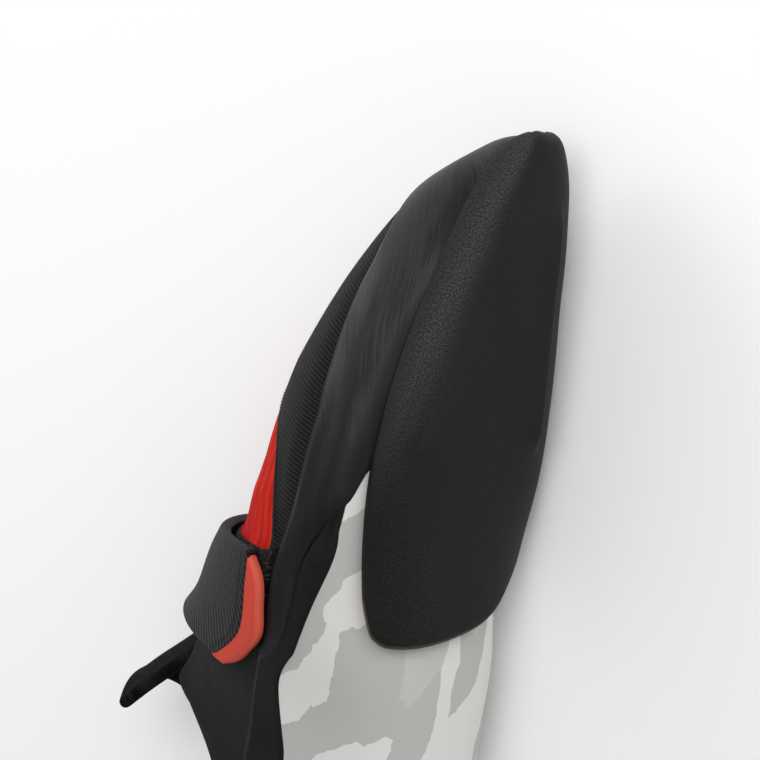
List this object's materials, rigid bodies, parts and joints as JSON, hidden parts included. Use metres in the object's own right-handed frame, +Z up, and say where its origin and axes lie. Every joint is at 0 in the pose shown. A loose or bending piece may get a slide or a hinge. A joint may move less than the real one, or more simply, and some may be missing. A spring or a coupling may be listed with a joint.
{
  "type": "climbing shoe",
  "caption": "Climbing shoe for the right foot with a knit upper, rubber toe cup, half sole, camouflage arch cover and instep strap, lying on its inner side",
  "frame": {"origin": "centre of the bounding box's base, on the floor under the shoe as it lies on its inner side", "axes": "+Y from heel to toe, +Z up from the inner to the outer side of the shoe, +X out of the sole"},
  "size_m": [0.1252, 0.2506, 0.0891],
  "materials": {
    "knit": "ribbed knit, matt",
    "gloss_red": "glossy coated fabric",
    "lining": "matt",
    "cup_rubber": "satin, brushed",
    "band_rubber": "satin",
    "camo_print": "printed, matt",
    "sole_rubber": "matt, buffed edge",
    "loop_fabric": "fuzzy loop",
    "webbing": "ribbed webbing",
    "tab_red": "satin"
  },
  "bodies": {
    "root": {"upper": "knit", "instep_panel": "gloss_red", "tongue": "lining", "toe_rand": "cup_rubber", "side_rand": "band_rubber", "arch_cover": "camo_print", "outsole": "sole_rubber", "loop_base": "loop_fabric", "strap": "webbing", "strap_tab": "tab_red"}
  },
  "joints": []
}
